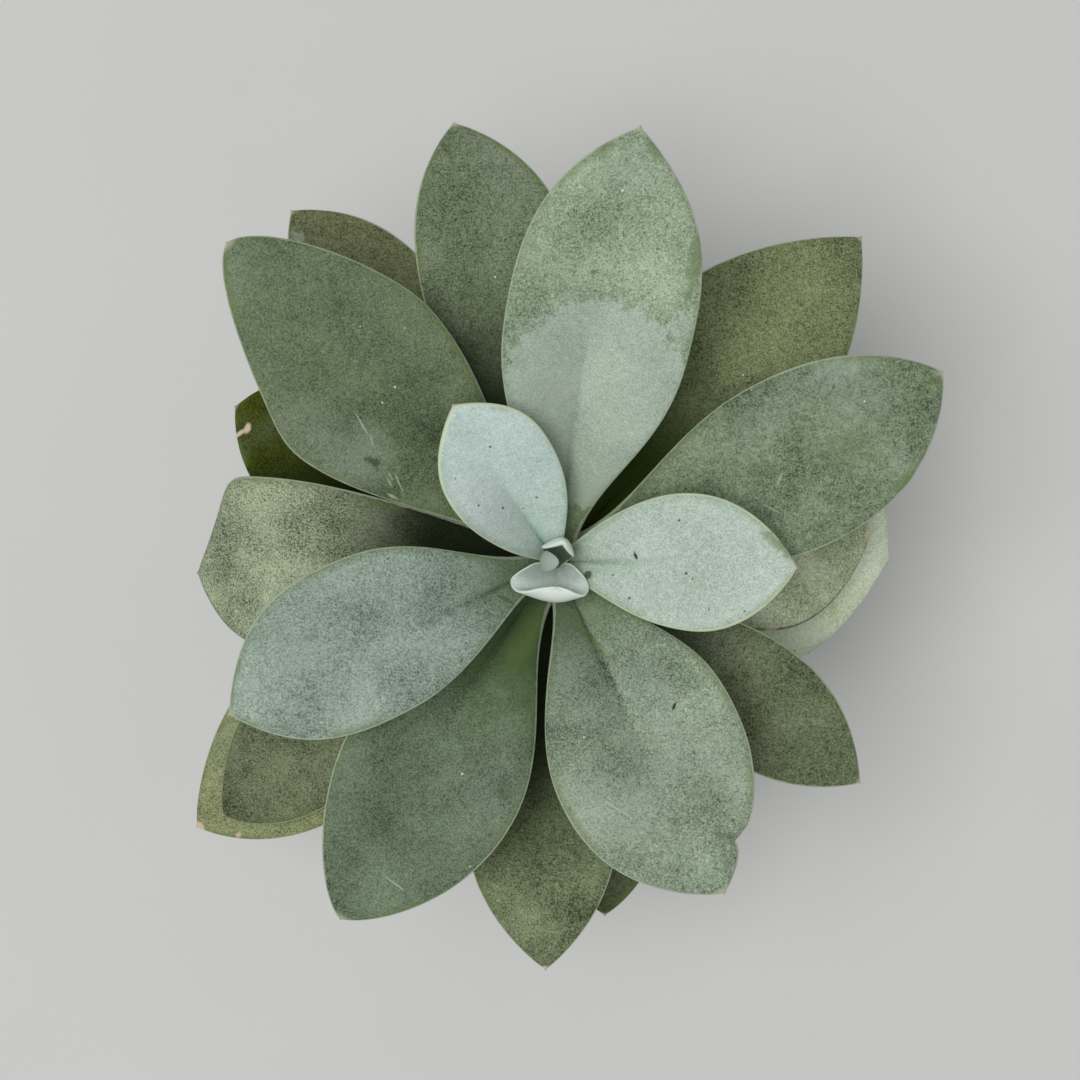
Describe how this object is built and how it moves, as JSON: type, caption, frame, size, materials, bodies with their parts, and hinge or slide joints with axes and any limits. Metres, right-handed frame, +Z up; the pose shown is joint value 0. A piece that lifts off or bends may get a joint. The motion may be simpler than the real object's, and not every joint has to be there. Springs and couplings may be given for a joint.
{
  "type": "potted mountain fire senecio",
  "caption": "Succulent rosette of folded spoon-shaped blue-green leaves on a short upright stem, standing in a plain round nursery pot of soil.",
  "frame": {"origin": "centre of the pot's underside, on the surface that it stands on", "axes": "+Z up along the pot's axis and the stem; +Y towards the top of the picture and +X towards its right, as seen from straight above"},
  "size_m": [0.0878, 0.0979, 0.1037],
  "materials": {
    "pot": "dark charcoal moulded plastic, matt",
    "soil": "dark gritty potting mix",
    "stem": "grey-brown corky stem, greener towards the tip",
    "crown_leaf": "pale grey-green, thick waxy bloom",
    "young_leaf": "pale blue-green, waxy bloom, yellow-green margin",
    "upper_leaf": "grey-green, mottled waxy bloom, yellow-green margin",
    "lower_leaf": "duller grey-green, worn waxy bloom, pale margin"
  },
  "bodies": {
    "root": {"pot": "pot", "soil": "soil", "stem": "stem", "leaf_01": "crown_leaf", "leaf_02": "crown_leaf", "leaf_03": "crown_leaf", "leaf_04": "young_leaf", "leaf_05": "young_leaf", "leaf_06": "upper_leaf", "leaf_07": "upper_leaf", "leaf_08": "upper_leaf", "leaf_09": "upper_leaf", "leaf_10": "upper_leaf", "leaf_11": "upper_leaf", "leaf_12": "lower_leaf", "leaf_13": "lower_leaf", "leaf_14": "lower_leaf", "leaf_15": "lower_leaf", "leaf_16": "lower_leaf", "leaf_17": "lower_leaf", "leaf_18": "lower_leaf", "leaf_19": "lower_leaf", "leaf_20": "lower_leaf", "leaf_21": "lower_leaf", "leaf_22": "lower_leaf", "leaf_23": "lower_leaf", "leaf_24": "lower_leaf"}
  },
  "joints": []
}
